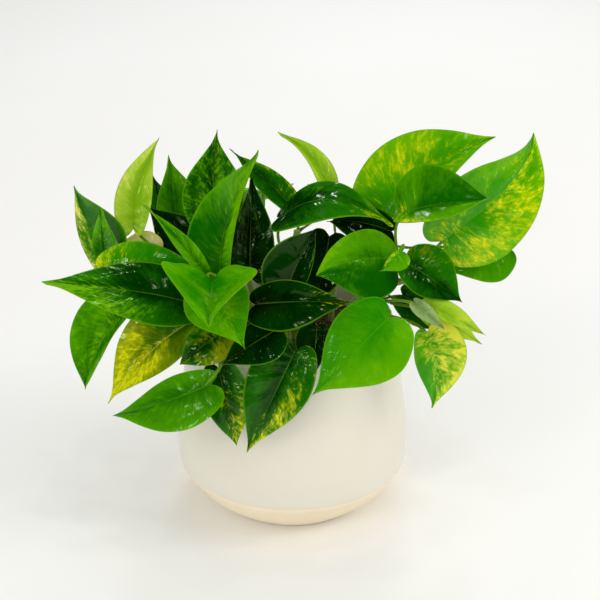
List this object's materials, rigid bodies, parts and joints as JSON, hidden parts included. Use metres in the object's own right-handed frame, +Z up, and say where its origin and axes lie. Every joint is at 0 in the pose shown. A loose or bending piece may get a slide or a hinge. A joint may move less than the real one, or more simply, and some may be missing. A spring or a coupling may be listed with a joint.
{
  "type": "potted pothos plant",
  "caption": "Trailing pothos with heart-shaped variegated leaves on bent stalks, rooted in soil in a rounded ceramic pot with a bare clay foot",
  "frame": {"origin": "centre of the pot's base, on the surface it stands on", "axes": "+Z up along the pot's axis, -Y the front of the plant, +X to its right; the large leaf leans out at +X and the far left leaf at -X"},
  "size_m": [0.3469, 0.25, 0.289],
  "materials": {
    "pot": "satin",
    "soil": "matte",
    "vine": "satin",
    "dark_leaf": "satin",
    "green_leaf": "satin",
    "bright_leaf": "satin",
    "variegated_leaf": "satin",
    "cream_leaf": "satin"
  },
  "bodies": {
    "root": {"pot": "pot", "soil": "soil", "vine_left": "vine", "vine_left_front": "vine", "vine_front": "vine", "vine_left_back": "vine", "vine_centre": "vine", "vine_centre_front": "vine", "vine_right": "vine", "vine_right_back": "vine", "leaf_far_left": "dark_leaf", "leaf_left_fold": "green_leaf", "leaf_left_gold": "variegated_leaf", "leaf_low_left": "green_leaf", "leaf_mottled": "variegated_leaf", "leaf_yellow_roof": "variegated_leaf", "leaf_left_up": "green_leaf", "leaf_left_small": "green_leaf", "leaf_cream_back": "cream_leaf", "leaf_lime_up": "bright_leaf", "leaf_diag": "green_leaf", "leaf_back_dark_a": "dark_leaf", "leaf_back_dark_b": "dark_leaf", "leaf_scoop": "bright_leaf", "leaf_below_scoop": "bright_leaf", "leaf_tall": "green_leaf", "leaf_behind_tall": "dark_leaf", "leaf_top_spike": "dark_leaf", "leaf_top_diag": "dark_leaf", "leaf_top_lime": "bright_leaf", "leaf_roof_centre": "dark_leaf", "leaf_centre_dark": "dark_leaf", "leaf_bright_tip": "dark_leaf", "leaf_centre_broad": "green_leaf", "leaf_heart": "bright_leaf", "leaf_two_tone": "variegated_leaf", "leaf_right_big": "bright_leaf", "leaf_right_dark": "dark_leaf", "leaf_right_back": "bright_leaf", "leaf_right_under": "green_leaf", "leaf_olive_long": "variegated_leaf", "leaf_lime_low": "bright_leaf", "leaf_right_small": "bright_leaf", "leaf_hook": "bright_leaf", "leaf_grey_under": "green_leaf", "leaf_dark_under": "dark_leaf", "leaf_stripe_low": "green_leaf", "leaf_narrow_low": "green_leaf", "leaf_round_dark": "dark_leaf", "leaf_inner_right": "dark_leaf", "leaf_inner_left": "dark_leaf", "leaf_inner_mid": "dark_leaf", "leaf_inner_top": "dark_leaf", "leaf_back_left": "green_leaf", "leaf_back_mid_left": "bright_leaf", "leaf_back_mid_right": "dark_leaf", "leaf_back_right": "green_leaf", "leaf_back_far_left": "green_leaf", "leaf_back_low_left": "bright_leaf", "leaf_back_low_right": "green_leaf"}
  },
  "joints": []
}
